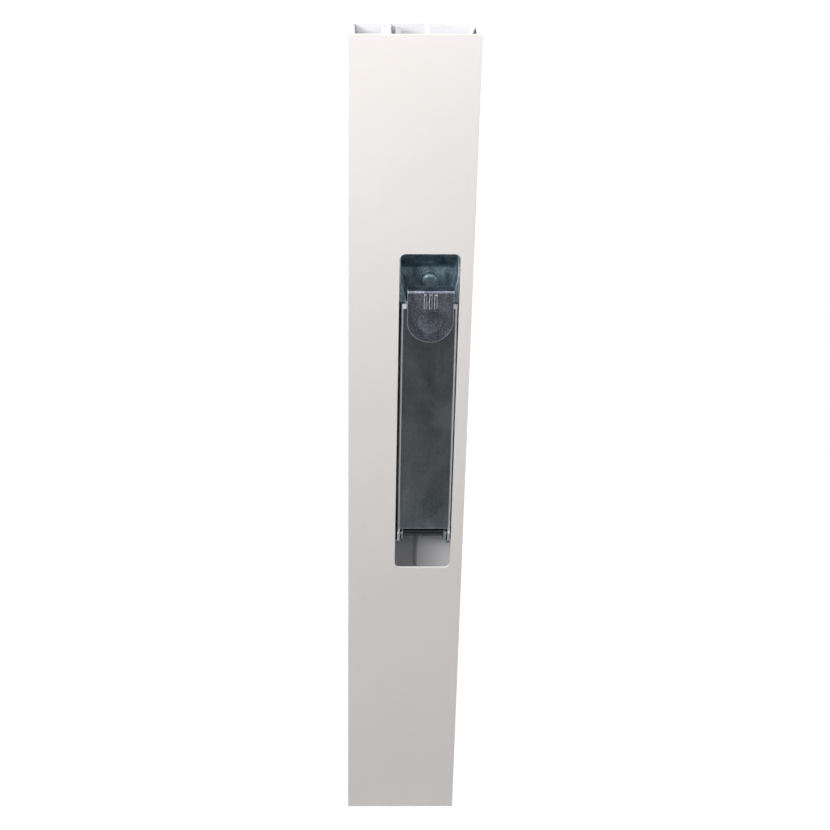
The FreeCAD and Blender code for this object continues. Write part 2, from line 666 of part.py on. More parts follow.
def make_bushes():
    """Flanged bushes in the case's ears; their flanges keep the lever off the case."""
    outer = "spindle_dia / 2 + running_gap + bush_wall"
    tail = "(bush_tail + case_sheet)"
    collar = "(lever_wide / 2 - lever_sheet - end_gap - case_narrow / 2)"
    starts = {
        "left": ("lock_x - case_narrow / 2", "lock_x - case_narrow / 2 - " + collar),
        "right": ("lock_x + case_narrow / 2 - " + tail, "lock_x + case_narrow / 2")}
    for side, (tube_x, collar_x) in starts.items():
        name = "spindle_bush_" + side
        tube = cylinder(name + "_tube", outer, tube_x, PIVOT_Y, "pivot_up", tail, "x")
        disc = cylinder(name + "_collar", "bush_flange / 2", collar_x, PIVOT_Y, "pivot_up", collar, "x")
        bore = cylinder(name + "_bore", "spindle_dia / 2 + running_gap", "lock_x - lever_wide / 2",
                        PIVOT_Y, "pivot_up", "lever_wide", "x")
        place(cut(name + "_solid", fuse(name + "_blank", [tube, disc]), bore), name)


def make_spindle():
    """Round spindle with two flats at each end and a groove for each clip."""
    body = new_body("spindle")
    blank = sketch_on(body, "side", SPINDLE_LEFT)
    circle(blank, PIVOT_Y, "pivot_up", "spindle_dia / 2")
    length = "(%s - %s)" % (SPINDLE_RIGHT, SPINDLE_LEFT)
    pad(body, blank, length)
    shoulder = "(lever_wide / 2 - lever_sheet - end_gap / 2)"
    ends = [(SPINDLE_LEFT, "lock_x - %s - %s" % (shoulder, SPINDLE_LEFT)),
            ("lock_x + " + shoulder, "%s - lock_x - %s" % (SPINDLE_RIGHT, shoulder))]
    for start, reach in ends:
        flats = sketch_on(body, "side", start)
        for sign in ("-", "+"):
            box_outline(flats, PIVOT_Y + " - spindle_dia", PIVOT_Y + " + spindle_dia",
                        "pivot_up %s spindle_flats / 2" % sign, "pivot_up %s spindle_dia" % sign)
        pocket(body, flats, reach, backwards=True)
    for start in (SPINDLE_LEFT + " + clip_margin", SPINDLE_RIGHT + " - clip_margin - clip_thick"):
        ring = sketch_on(body, "side", "%s - flat_gap" % start)
        circle(ring, PIVOT_Y, "pivot_up", "spindle_dia")
        circle(ring, PIVOT_Y, "pivot_up", "clip_groove / 2 - flat_gap")
        pocket(body, ring, "clip_thick + 2 * flat_gap", backwards=True)
    return body


def make_clips():
    """Open retaining clips in the spindle's grooves."""
    clips = []
    for number, start in enumerate((SPINDLE_LEFT + " + clip_margin", SPINDLE_RIGHT + " - clip_margin - clip_thick")):
        name = "Clip%d" % number
        disc = cylinder(name + "_disc", "clip_dia / 2", start, PIVOT_Y, "pivot_up", "clip_thick", "x")
        bore = cylinder(name + "_bore", "clip_groove / 2", start + " - 1", PIVOT_Y, "pivot_up", "clip_thick + 2", "x")
        mouth = doc.addObject("Part::Box", name + "_mouth")
        bind(mouth, "Length", "clip_thick + 2")
        bind(mouth, "Width", "clip_groove * 0.8")
        bind(mouth, "Height", "clip_dia")
        bind(mouth, "Placement.Base.x", start + " - 1")
        bind(mouth, "Placement.Base.y", PIVOT_Y + " - clip_groove * 0.4")
        bind(mouth, "Placement.Base.z", "pivot_up")
        clips.append(cut(name, disc, fuse(name + "_open", [bore, mouth])))
    group("spindle_clips", clips)


def involute_point(base, radius):
    """Angle that the involute of the base circle has turned through at this radius."""
    if radius <= base:
        return 0.0
    pressure = math.acos(base / radius)
    return math.tan(pressure) - pressure


def make_pinion():
    """Pinion on the spindle's flats, between the two racks; one tooth points at the front rack."""
    teeth = int(SIZES["gear_teeth"])
    pitch = SIZES["gear_module"] * teeth / 2
    tip = pitch + SIZES["gear_module"] * SIZES["gear_top"]
    root = pitch - SIZES["gear_module"] * SIZES["gear_root"]
    pressure = math.radians(20)
    base = pitch * math.cos(pressure)
    half_tooth = math.pi / (2 * teeth) - SIZES["gear_play"] / (4 * pitch)
    at_pitch = involute_point(base, pitch)
    steps = 4
    flank = [root] + [base + (tip - base) * i / steps for i in range(steps + 1)]
    points = []
    for tooth in range(teeth):
        middle = math.pi + math.tau * tooth / teeth
        for radius in flank:
            angle = middle - half_tooth - at_pitch + involute_point(base, radius)
            points.append((radius * math.cos(angle), radius * math.sin(angle)))
        for radius in reversed(flank):
            angle = middle + half_tooth + at_pitch - involute_point(base, radius)
            points.append((radius * math.cos(angle), radius * math.sin(angle)))
    wire = Part.makePolygon([FreeCAD.Vector(0, y, z) for y, z in points + points[:1]])
    blank = Part.Face(wire).extrude(FreeCAD.Vector(SIZES["gear_wide"], 0, 0))
    bore = Part.makeCylinder(SIZES["spindle_dia"] / 2 + SIZES["flat_gap"], SIZES["gear_wide"],
                             FreeCAD.Vector(0, 0, 0), FreeCAD.Vector(1, 0, 0))
    across = SIZES["spindle_flats"] + 2 * SIZES["flat_gap"]
    slab = Part.makeBox(SIZES["gear_wide"], 2 * SIZES["spindle_dia"], across,
                        FreeCAD.Vector(0, -SIZES["spindle_dia"], -across / 2))
    item = doc.addObject("Part::Feature", "pinion_shape")
    item.Shape = blank.cut(bore.common(slab))
    item.Placement = FreeCAD.Placement(
        FreeCAD.Vector(SIZES["rod_x"] - SIZES["gear_wide"] / 2, SIZES["pivot_back"] - SIZES["post_deep"] / 2,
                       SIZES["pivot_up"]), FreeCAD.Rotation())
    place(item, "pinion")

    name = "pinion_spacer"
    start = "(rod_x + gear_wide / 2)"
    reach = "lock_x - lever_wide / 2 - end_gap / 4 - %s" % start
    disc = cylinder(name + "_disc", "bush_flange / 2", start, PIVOT_Y, "pivot_up", reach, "x")
    bore = cylinder(name + "_bore", "spindle_dia / 2 + running_gap", start, PIVOT_Y, "pivot_up", reach, "x")
    place(cut(name + "_solid", disc, bore), name)


def make_rod(name, forward):
    """Flat bar whose inner end is cut back to a leg with a rack; forward is the upper rod."""
    body = new_body(name)
    pitch = "(gear_module * 3.14159265)"
    if forward:
        toward, away = "+", "-"
        back_edge = ROD_FRONT
        tooth_tip = PIVOT_Y + " - %s + gear_module * gear_top" % PITCH_RADIUS
        tooth_root = PIVOT_Y + " - %s - gear_module * gear_root" % PITCH_RADIUS
        end = "post_tall - rod_end_gap"
        first_gap = "(pivot_up - rack_below * %s)" % pitch
    else:
        toward, away = "-", "+"
        back_edge = ROD_BACK
        tooth_tip = PIVOT_Y + " + %s - gear_module * gear_top" % PITCH_RADIUS
        tooth_root = PIVOT_Y + " + %s + gear_module * gear_root" % PITCH_RADIUS
        end = "rod_end_gap"
        first_gap = "(pivot_up - (rack_beyond + 0.5) * %s)" % pitch
    shoulder = "pivot_up %s leg_shoulder" % toward
    leg_end = "pivot_up %s (rack_below * %s + leg_past)" % (away, pitch)

    bar = sketch_on(body, "side", "rod_x - rod_thick / 2")
    bevel = "%s %s rod_chamfer" % (end, away)
    outline(bar, [
        (ROD_FRONT, shoulder), (ROD_FRONT, bevel), (ROD_FRONT + " + rod_chamfer", end),
        (ROD_BACK + " - rod_chamfer", end), (ROD_BACK, bevel), (ROD_BACK, shoulder)])
    pad(body, bar, "rod_thick")
    leg = sketch_on(body, "side", "rod_x - rod_thick / 2")
    outline(leg, [(back_edge, shoulder), (tooth_tip, shoulder), (tooth_tip, leg_end), (back_edge, leg_end)])
    pad(body, leg, "rod_thick")

    # Tooth gaps: straight flanks at 20 degrees, one after another along the leg
    slant = "0.36397"
    wide_tip = "(%s / 4 + gear_module * gear_top * %s + gear_play / 4)" % (pitch, slant)
    wide_root = "(%s / 4 - gear_module * gear_root * %s + gear_play / 4)" % (pitch, slant)
    gap = sketch_on(body, "side", "rod_x - rod_thick / 2")
    bind(gap, "AttachmentOffset.Base.y", first_gap)
    outline(gap, [(tooth_tip, "-" + wide_tip), (tooth_tip, wide_tip), (tooth_root, wide_root),
                  (tooth_root, "-" + wide_root)])
    space = pocket(body, gap, "rod_thick", backwards=True)
    row_of(body, space, "V_Axis", "(rack_below + rack_beyond + 1)", pitch)
    return body


def make_guides():
    """Channel-shaped guide blocks screwed to the back of the post; each holds a rod on three sides."""
    left = "rod_x - rod_thick / 2 - slide_gap - guide_wall"
    right = "rod_x + rod_thick / 2 + slide_gap + guide_thick_side"
    for name, low in GUIDES:
        body = new_body(name)
        block = sketch_on(body, "plan", low)
        box_outline(block, left, right, INSIDE + " + guide_gap", BACK_IN + " - guide_gap")
        pad(body, block, "guide_tall")
        way = sketch_on(body, "plan", low)
        box_outline(way, "rod_x - rod_thick / 2 - slide_gap", "rod_x + rod_thick / 2 + slide_gap",
                    INSIDE, ROD_BACK + " + slide_gap")
        pocket(body, way, "guide_tall", backwards=True)
        holes = sketch_on(body, "front", BACK_IN)
        circle(holes, "rod_x", low + " + guide_tall / 2", "screw_dia / 2 + hole_gap")
        pocket(body, holes, "%s - %s" % (BACK_IN, ROD_BACK), backwards=True)


def make_screws():
    """Countersunk screws with hexagon sockets that hold the guides, flush with the back of the post."""
    screws = []
    for number, height in enumerate(SCREW_HEIGHTS):
        name = "Screw%d" % number
        shank = cylinder(name + "_shank", "screw_dia / 2", "rod_x", BACK + " - screw_long", height,
                         "screw_long - screw_sink", "y")
        head = cone(name + "_head", "screw_dia / 2", "screw_head / 2", "rod_x", BACK + " - screw_sink", height,
                    "screw_sink")
        drive = doc.addObject("Part::Prism", name + "_drive")
        drive.Placement = FreeCAD.Placement(
            FreeCAD.Vector(0, 0, 0), FreeCAD.Rotation(FreeCAD.Vector(1, 0, 0), -90))
        bind(drive, "Circumradius", "drive_wide / 2")
        bind(drive, "Height", "drive_deep")
        bind(drive, "Placement.Base.x", "rod_x")
        bind(drive, "Placement.Base.y", BACK + " - drive_deep")
        bind(drive, "Placement.Base.z", height)
        screws.append(cut(name, fuse(name + "_blank", [shank, head]), drive))
    group("guide_screws", screws)


def make_lever():
    """Folded channel: the front web, two side flanges and their round ears on the spindle."""
    body = new_body("lever_channel")
    left = "lock_x - lever_wide / 2"
    right = "lock_x + lever_wide / 2"
    low = "pivot_up + lever_foot"
    high = "z_lever_top"
    web = sketch_on(body, "front", LEVER_BACK)
    box_outline(web, left, right, low, high)
    solid = pad(body, web, "lever_sheet")
    for start in (left, right + " - lever_sheet"):
        flange = sketch_on(body, "side", start)
        edge = LEVER_FRONT + " + lever_deep"
        outline(flange, [
            (LEVER_FRONT, high),
            (edge, high),
            (edge, "pivot_up + 1.8 * ear_radius"),
            (PIVOT_Y + " + ear_radius", "pivot_up + 0.4 * ear_radius"),
            (PIVOT_Y + " + ear_radius", "pivot_up"),
            (PIVOT_Y + " - ear_radius", "pivot_up"),
            (LEVER_FRONT, low)])
        pad(body, flange, "lever_sheet")
        ear = sketch_on(body, "side", start)
        circle(ear, PIVOT_Y, "pivot_up", "ear_radius")
        solid = pad(body, ear, "lever_sheet")

    # The bends
    face = SIZES["lever_sunk"] - SIZES["post_deep"] / 2
    half = SIZES["lever_wide"] / 2
    top = level("z_lever_top")
    fillet(body, solid, lambda edge: runs_along(edge, FreeCAD.Vector(0, 0, 1)) and near(edge.CenterOfMass.y, face)
           and near(abs(edge.CenterOfMass.x - SIZES["lock_x"]), half) and near(edge.BoundBox.ZMax, top), "lever_bend")

    # Tabs folded in at the foot of the flanges
    for start in (left, right + " - tab_wide"):
        tab = sketch_on(body, "side", start)
        box_outline(tab, LEVER_FRONT, LEVER_FRONT + " + tab_deep", low + " - tab_down - lever_sheet",
                    low + " - tab_down")
        pad(body, tab, "tab_wide")

    # Holes that fit the spindle: round, then filled again up to its flats
    bore = sketch_on(body, "side", left + " - 1")
    circle(bore, PIVOT_Y, "pivot_up", "spindle_dia / 2 + flat_gap")
    pocket(body, bore, "lever_wide + 2", backwards=True)
    for start in (left, right + " - lever_sheet"):
        flats = sketch_on(body, "side", start)
        for sign in ("-", "+"):
            box_outline(flats, PIVOT_Y + " - spindle_dia / 2", PIVOT_Y + " + spindle_dia / 2",
                        "pivot_up %s (spindle_flats / 2 + flat_gap)" % sign,
                        "pivot_up %s (spindle_dia / 2 + lever_sheet)" % sign)
        pad(body, flats, "lever_sheet")
    holes = sketch_on(body, "front", LEVER_BACK)
    for side in ("-", "+"):
        circle(holes, "catch_x %s bracket_rivet_apart / 2" % side, "z_bracket_rivet_up", "rivet_dia / 2 + hole_gap")
    pocket(body, holes, "lever_sheet", backwards=True)
    return body


def make_bracket():
    """Bracket riveted behind the lever's upper end; its two ears carry the catch pin."""
    body = new_body("catch_bracket")
    half = "bracket_wide / 2"
    base = sketch_on(body, "front", LEVER_BACK + " + bracket_sheet")
    box_outline(base, "catch_x - " + half, "catch_x + " + half, "z_bracket_low", "z_bracket_high")
    pad(body, base, "bracket_sheet")
    for start in ("catch_x - " + half, "catch_x + %s - bracket_sheet" % half):
        ear = sketch_on(body, "side", start)
        outline(ear, [
            (LEVER_BACK, "z_bracket_low"),
            (LEVER_BACK + " + 2 * bracket_sheet", "z_bracket_low"),
            (PIN_Y + " + bracket_ear", "z_bracket_high"),
            (PIN_Y + " + bracket_ear", "z_catch_pin_up"),
            (LEVER_BACK, "z_catch_pin_up")])
        pad(body, ear, "bracket_sheet")
        eye = sketch_on(body, "side", start)
        circle(eye, PIN_Y, "z_catch_pin_up", "bracket_ear")
        pad(body, eye, "bracket_sheet")
    bore = sketch_on(body, "side", "catch_x - bracket_wide")
    circle(bore, PIN_Y, "z_catch_pin_up", "catch_pin_dia / 2 + running_gap")
    pocket(body, bore, "2 * bracket_wide", backwards=True)
    holes = sketch_on(body, "front", LEVER_BACK + " + bracket_sheet")
    for side in ("-", "+"):
        circle(holes, "catch_x %s bracket_rivet_apart / 2" % side, "z_bracket_rivet_up", "rivet_dia / 2 + hole_gap")
    pocket(body, holes, "bracket_sheet", backwards=True)
    return body


def make_catch():
    """Thumb flap in front of the lever, folded over its upper end, with two ears that end in hooks."""
    body = new_body("catch_flap")
    half = "catch_wide / 2"
    fold_y = FACE + " + catch_sunk + catch_sheet"

    def leaning(offset):
        """Sketch in the leaf's own plane, measured down from the fold."""
        sketch = body.newObject("Sketcher::SketchObject", "Leaf")
        sketch.AttachmentSupport = (origin_plane(body, "XZ_Plane"), [""])
        sketch.MapMode = "FlatFace"
        bind(sketch, "AttachmentOffset.Rotation.Angle", "-catch_lean")
        sketch.AttachmentOffset = FreeCAD.Placement(
            FreeCAD.Vector(0, 0, 0), FreeCAD.Rotation(FreeCAD.Vector(1, 0, 0), -SIZES["catch_lean"]))
        bind(sketch, "AttachmentOffset.Base.y", "z_catch_top")
        bind(sketch, "AttachmentOffset.Base.z", "-(%s) + %s" % (fold_y, offset))
        return sketch

    # Leaf and folded top in one strip, then the round end and the part of the top between the ears
    down = "((catch_long - catch_wide / 2) * cos(catch_lean))"
    outer_y = fold_y + " - catch_sheet / cos(catch_lean)"
    strip = sketch_on(body, "side", "catch_x - " + half)
    outline(strip, [
        (fold_y + " + catch_fold", "z_catch_top"),
        (outer_y, "z_catch_top"),
        (outer_y + " - %s * tan(catch_lean)" % down, "z_catch_top - " + down),
        (fold_y + " - %s * tan(catch_lean)" % down, "z_catch_top - " + down),
        (fold_y + " - catch_sheet * tan(catch_lean)", "z_catch_top - catch_sheet"),
        (fold_y + " + catch_fold", "z_catch_top - catch_sheet")])
    solid = pad(body, strip, "catch_wide")
    lean = math.radians(SIZES["catch_lean"])
    fold = (SIZES["catch_sunk"] + SIZES["catch_sheet"] - SIZES["catch_sheet"] / math.cos(lean)
            - SIZES["post_deep"] / 2)
    fillet(body, solid, lambda edge: runs_along(edge, FreeCAD.Vector(1, 0, 0))
           and near(edge.CenterOfMass.y, fold) and near(edge.CenterOfMass.z, level("z_catch_top")),
           "catch_bend")
    inner_fold = SIZES["catch_sunk"] + SIZES["catch_sheet"] * (1 - math.tan(lean)) - SIZES["post_deep"] / 2
    fillet(body, body.Tip, lambda edge: runs_along(edge, FreeCAD.Vector(1, 0, 0))
           and near(edge.CenterOfMass.y, inner_fold)
           and near(edge.CenterOfMass.z, level("z_catch_top") - SIZES["catch_sheet"]),
           "catch_bend - catch_sheet")
    end = leaning("0")
    circle(end, "catch_x", "-(catch_long - catch_wide / 2)", half)
    pad(body, end, "catch_sheet")
    # Ears with their eyes and hooks
    lip_back = "(%s - strike_reach + strike_sheet)" % CASE_FRONT
    under = "(z_strike_top - strike_lip - hook_play)"
    for start in ("catch_x - catch_ears / 2", "catch_x + catch_ears / 2 - catch_ear_sheet"):
        ear = sketch_on(body, "side", start)
        outline(ear, [
            (fold_y, "z_catch_top - catch_bend"),
            (fold_y + " + catch_bend", "z_catch_top - catch_sheet / 2"),
            (fold_y + " + catch_fold", "z_catch_top - catch_sheet / 2"),
            (PIN_Y + " + catch_eye - ear_inset", "z_catch_pin_up + catch_eye"),
            (PIN_Y + " + catch_eye - ear_inset", under),
            (lip_back + " + lip_gap", under),
            (lip_back + " + lip_gap", "%s + hook_play + nose_bite" % under),
            (lip_back + " + lip_gap + nose_thick", "%s + hook_play + nose_bite" % under),
            (lip_back + " + lip_gap + nose_thick", "%s - hook_thick" % under),
            (PIN_Y + " + catch_eye - ear_inset", "%s - hook_thick" % under),
            (PIN_Y, "z_catch_pin_up - catch_eye + ear_inset / 4"),
            (fold_y, "z_catch_pin_up - ear_inset")])
        pad(body, ear, "catch_ear_sheet")
        eye = sketch_on(body, "side", start)
        circle(eye, PIN_Y, "z_catch_pin_up", "catch_eye")
        pad(body, eye, "catch_ear_sheet")
    bore = sketch_on(body, "side", "catch_x - catch_wide")
    circle(bore, PIN_Y, "z_catch_pin_up", "catch_pin_dia / 2 + running_gap")
    pocket(body, bore, "2 * catch_wide", backwards=True)

    # Three pressed grip ribs below the fold and a plain dished spot for the thumb
    ribs = leaning("catch_sheet")
    for place_x in ("catch_x - rib_apart", "catch_x", "catch_x + rib_apart"):
        box_outline(ribs, place_x + " - rib_wide / 2", place_x + " + rib_wide / 2",
                    "-(rib_down + rib_long)", "-rib_down")
    pad(body, ribs, "rib_high")
    dish = body.newObject("PartDesign::SubtractiveSphere", "Dish")
    ball = "((dish_dia ^ 2 / 4 + dish_deep ^ 2) / (2 * dish_deep))"
    bind(dish, "Radius", ball)
    bind(dish, "Placement.Base.x", "catch_x")
    bind(dish, "Placement.Base.y",
         outer_y + " - dish_down * sin(catch_lean) - (%s - dish_deep) * cos(catch_lean)" % ball)
    bind(dish, "Placement.Base.z",
         "z_catch_top - dish_down * cos(catch_lean) + (%s - dish_deep) * sin(catch_lean)" % ball)
    return body


def make_pin_and_spring():
    """Pin of the catch, and the coiled spring that turns round it."""
    pin = cylinder("catch_pin_bar", "catch_pin_dia / 2", "catch_x - bracket_wide / 2 - pin_over", PIN_Y,
                   "z_catch_pin_up", "bracket_wide + 2 * pin_over", "x")
    place(pin, "catch_pin")
    radius = SIZES["catch_pin_dia"] / 2 + SIZES["spring_gap"] + SIZES["wire"] / 2
    quarters = 4 * int(SIZES["spring_turns"])
    length = quarters * SIZES["spring_pitch"] / 4

    def on_helix(quarter):
        angle = quarter * math.pi / 2
        return FreeCAD.Vector(radius * math.cos(angle), radius * math.sin(angle),
                              quarter * SIZES["spring_pitch"] / 4)

    path = Part.Wire([Part.Arc(on_helix(i), on_helix(i + 0.5), on_helix(i + 1)).toShape() for i in range(quarters)])
    rise = path.Edges[0].tangentAt(path.Edges[0].FirstParameter)
    ring = Part.makePolygon(Part.makeCircle(SIZES["wire"] / 2, on_helix(0), rise).discretize(9))
    coil = path.makePipeShell([ring], True, False)
    item = doc.addObject("Part::Feature", "catch_spring_shape")
    item.Shape = coil
    item.Placement = FreeCAD.Placement(
        FreeCAD.Vector(SIZES["catch_x"] - length / 2, SIZES["catch_pin_back"] - SIZES["post_deep"] / 2,
                       level("z_catch_pin_up")), FreeCAD.Rotation(FreeCAD.Vector(0, 1, 0), 90))
    place(item, "catch_spring")


make_post()
make_case()
make_strike()
make_rivets()
make_bushes()
make_spindle()
make_clips()
make_pinion()
make_rod("upper_rod", True)
make_rod("lower_rod", False)
make_guides()
make_screws()
make_lever()
make_bracket()
make_catch()
make_pin_and_spring()
doc.recompute()

for item in doc.Objects:
    if "Invalid" in item.State or "Error" in item.State:
        raise RuntimeError("feature failed: %s %s %s" % (item.Name, item.Label, item.State))
os.makedirs("parts", exist_ok=True)
for item in PARTS:
    shape = item.Shape
    if shape.isNull() or not shape.isValid():
        raise RuntimeError("no valid shape: " + item.Label)
for item in PARTS:
    shape = item.Shape
    shape.exportStep(os.path.join("parts", item.Label + ".step"))
    print("%-20s solids %d volume %9.1f" % (item.Label, len(shape.Solids), shape.Volume))
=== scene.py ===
import math

import bpy
from mathutils import Matrix, Vector


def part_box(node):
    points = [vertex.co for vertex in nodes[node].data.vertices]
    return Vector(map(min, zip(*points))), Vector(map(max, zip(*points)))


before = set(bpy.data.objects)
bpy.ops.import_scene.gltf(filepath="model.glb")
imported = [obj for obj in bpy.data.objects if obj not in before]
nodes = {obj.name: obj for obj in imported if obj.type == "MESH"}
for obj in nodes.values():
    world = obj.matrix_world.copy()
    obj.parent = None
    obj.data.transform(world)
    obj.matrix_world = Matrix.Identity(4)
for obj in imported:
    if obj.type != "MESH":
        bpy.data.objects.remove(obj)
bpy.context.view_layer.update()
scene = bpy.context.scene
scene.view_settings.view_transform = "Standard"

# Sharp edges, rounded in the shading alone, and lightened by wear and a painted highlight; widths in metres
EDGE_SOFTNESS = 0.00035
WEAR_AND_HIGHLIGHT_WIDTH = 0.0005
WEAR_AND_HIGHLIGHT_FROM = 0.985  # cosine of the turn where the wear and painted highlight start
WEAR_AND_HIGHLIGHT_FULL = 0.90  # cosine of the turn where the wear and painted highlight are complete
EDGE_SAMPLES = 8

# Painted highlights along the lever's bends, foot tabs and upper corners, in metres, placed from its box
LEVER_LOW, LEVER_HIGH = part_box("lever_channel")
LEVER_MIDDLE = (LEVER_LOW[0] + LEVER_HIGH[0]) / 2
LEVER_HALF = (LEVER_HIGH[0] - LEVER_LOW[0]) / 2
LEVER_FACE = LEVER_LOW[1]
LEVER_TOP = LEVER_HIGH[2]
WEB_FOOT = LEVER_LOW[2] + 0.0205
BEND_WIDE = 0.0014
BEND_DEEP = 0.0020
CORNER_HIGH = 0.0037
CORNER_WIDE = 0.0030
TAB_HIGH = 0.0060
SOFT_BLUR = 0.0003
SHARP_BLUR = 0.0002

# Inside of the post, in metres: its walls, and the slanted step in its back
POST_FRONT_WALL = -0.0157
POST_INSIDE = 0.0462
POST_SHALLOW = 0.0120
POST_DEEP = 0.0158
POST_SLOPE = 1.08
POST_STEP = 0.0258

# Colours of the finishes
WHITE = (1, 1, 1)
COAT_DIM = (0.775, 0.742, 0.717)
COAT_LIGHT = (0.815, 0.782, 0.757)
COAT_SMUDGE = (0.955, 0.95, 0.94)
BARE_ALUMINIUM_AND_PAINTED_LIGHT = (0.75, 0.745, 0.775)
DRAW_LINE = (0.84, 0.85, 0.86)
WEAR_AND_HIGHLIGHT_ROUGHNESS = (0.68, 0.68, 0.68)

# Grain of the finishes: noise scales for each metre, and depths in metres
PEEL_SCALE = 900.0
PEEL_DEPTH = 0.00006
DRAW_SCALE = 1500.0
SPECK_SCALE = 1000.0
TURNED_SCALE = 900.0
TURNED_DEPTH = 0.00005
SCRATCH_SCALE = 700.0
SPARK_SCALE = 1800.0
GRAIN_DEPTH = 0.00008


# Shader helpers

def new_material(name, metallic=0.0):
    material = bpy.data.materials.new(name)
    material.use_nodes = True
    tree = material.node_tree
    tree.nodes.clear()
    output = tree.nodes.new("ShaderNodeOutputMaterial")
    shader = tree.nodes.new("ShaderNodeBsdfPrincipled")
    shader.inputs["Metallic"].default_value = metallic
    tree.links.new(shader.outputs["BSDF"], output.inputs["Surface"])
    return material, tree, shader


def feed(tree, socket, value):
    """Links another node's output to a socket, or sets the socket to a number or colour."""
    if isinstance(value, bpy.types.NodeSocket):
        tree.links.new(value, socket)
    elif isinstance(value, (int, float)):
        socket.default_value = value
    else:
        socket.default_value = (*value, 1.0)


def coordinates(tree):
    """Object X, Y and Z as three sockets."""
    place = tree.nodes.new("ShaderNodeTexCoord")
    split = tree.nodes.new("ShaderNodeSeparateXYZ")
    tree.links.new(place.outputs["Object"], split.inputs["Vector"])
    return split.outputs["X"], split.outputs["Y"], split.outputs["Z"]


def position(tree, stretch=(1, 1, 1)):
    """Object position, so that the finish stays on the piece when it moves."""
    place = tree.nodes.new("ShaderNodeTexCoord")
    mapping = tree.nodes.new("ShaderNodeMapping")
    mapping.inputs["Scale"].default_value = stretch
    tree.links.new(place.outputs["Object"], mapping.inputs["Vector"])
    return mapping.outputs["Vector"]


def noise(tree, vector, scale, detail, roughness=0.55, distortion=0.0):
    node = tree.nodes.new("ShaderNodeTexNoise")
    node.inputs["Scale"].default_value = scale
    node.inputs["Detail"].default_value = detail
    node.inputs["Roughness"].default_value = roughness
    node.inputs["Distortion"].default_value = distortion
    tree.links.new(vector, node.inputs["Vector"])
    return node.outputs["Fac"]


def ramp(tree, value, low, low_colour, high, high_colour):
    """Blends from one colour to another as the value goes from low to high."""
    node = tree.nodes.new("ShaderNodeValToRGB")
    first, second = node.color_ramp.elements
    first.position = low
    first.color = (*low_colour, 1.0)
    second.position = high
    second.color = (*high_colour, 1.0)
    tree.links.new(value, node.inputs["Fac"])
    return node.outputs["Color"]


def remap(tree, value, start=0.0, end=1.0, low=0.0, high=1.0):
    """Goes from low to high as the value goes from start to end."""
    node = tree.nodes.new("ShaderNodeMapRange")
    node.inputs["From Min"].default_value = start
    node.inputs["From Max"].default_value = end
    node.inputs["To Min"].default_value = low
    node.inputs["To Max"].default_value = high
    tree.links.new(value, node.inputs["Value"])
    return node.outputs["Result"]


def rising(tree, value, place, blur):
    """0 below the place and 1 above it."""
    return remap(tree, value, place - blur, place + blur)


def falling(tree, value, place, blur):
    """1 below the place and 0 above it."""
    return remap(tree, value, place + blur, place - blur)


def math_node(tree, operation, first, second=0.0):
    node = tree.nodes.new("ShaderNodeMath")
    node.operation = operation
    feed(tree, node.inputs[0], first)
    feed(tree, node.inputs[1], second)
    return node.outputs[0]


def product(tree, first, *others):
    for other in others:
        first = math_node(tree, "MULTIPLY", first, other)
    return first


def mix_colour(tree, factor, first, second, blend="MIX"):
    node = tree.nodes.new("ShaderNodeMix")
    node.data_type = "RGBA"
    node.blend_type = blend
    feed(tree, node.inputs["Factor"], factor)
    feed(tree, node.inputs["A"], first)
    feed(tree, node.inputs["B"], second)
    return [socket for socket in node.outputs if socket.type == "RGBA"][0]


def rounded(tree, width):
    """The surface's normal with its sharp edges rounded, for shading alone."""
    node = tree.nodes.new("ShaderNodeBevel")
    node.samples = EDGE_SAMPLES
    node.inputs["Radius"].default_value = width
    return node.outputs["Normal"]


def bump(tree, shader, height, strength, distance):
    node = tree.nodes.new("ShaderNodeBump")
    node.inputs["Strength"].default_value = strength
    node.inputs["Distance"].default_value = distance
    tree.links.new(rounded(tree, EDGE_SOFTNESS), node.inputs["Normal"])
    tree.links.new(height, node.inputs["Height"])
    tree.links.new(node.outputs["Normal"], shader.inputs["Normal"])


def dress(tree, shader, colour, rough):
    tree.links.new(colour, shader.inputs["Base Color"])
    tree.links.new(rough, shader.inputs["Roughness"])


# Places on a surface, each 1 inside and 0 outside

def bare_inside_and_painted_light(tree):
    """Inside the hollow section, where the powder doesn't reach; the tone given there is also painted light
    for the hollow.
    """
    x, y, _ = coordinates(tree)
    inner = math_node(tree, "LESS_THAN", math_node(tree, "ABSOLUTE", x), POST_INSIDE)
    behind = math_node(tree, "GREATER_THAN", y, POST_FRONT_WALL)
    shallow = math_node(tree, "LESS_THAN", y, POST_SHALLOW)
    slant = math_node(tree, "ADD", y, math_node(tree, "MULTIPLY", x, POST_SLOPE))
    left_of_step = math_node(tree, "LESS_THAN", slant, POST_STEP)
    deep = product(tree, left_of_step, math_node(tree, "LESS_THAN", y, POST_DEEP))
    return product(tree, inner, behind, math_node(tree, "MAXIMUM", shallow, deep))


def lever_bend_highlights(tree):
    """Painted highlights on the lever: two long bends, tabs and upper corners."""
    x, y, z = coordinates(tree)
    # Painted highlight: a bright band along each bend, wider at the top corners and reaching down to the tabs
    away = math_node(tree, "ABSOLUTE", math_node(tree, "SUBTRACT", x, LEVER_MIDDLE))
    corner = math_node(tree, "MULTIPLY", rising(tree, z, LEVER_TOP - CORNER_HIGH, SOFT_BLUR), CORNER_WIDE)
    reach = math_node(tree, "ADD", away, corner)
    side = rising(tree, reach, LEVER_HALF - BEND_WIDE, SOFT_BLUR)
    front = falling(tree, y, LEVER_FACE + BEND_DEEP, SHARP_BLUR)
    above = rising(tree, z, WEB_FOOT - TAB_HIGH, SHARP_BLUR)
    return product(tree, side, front, above)


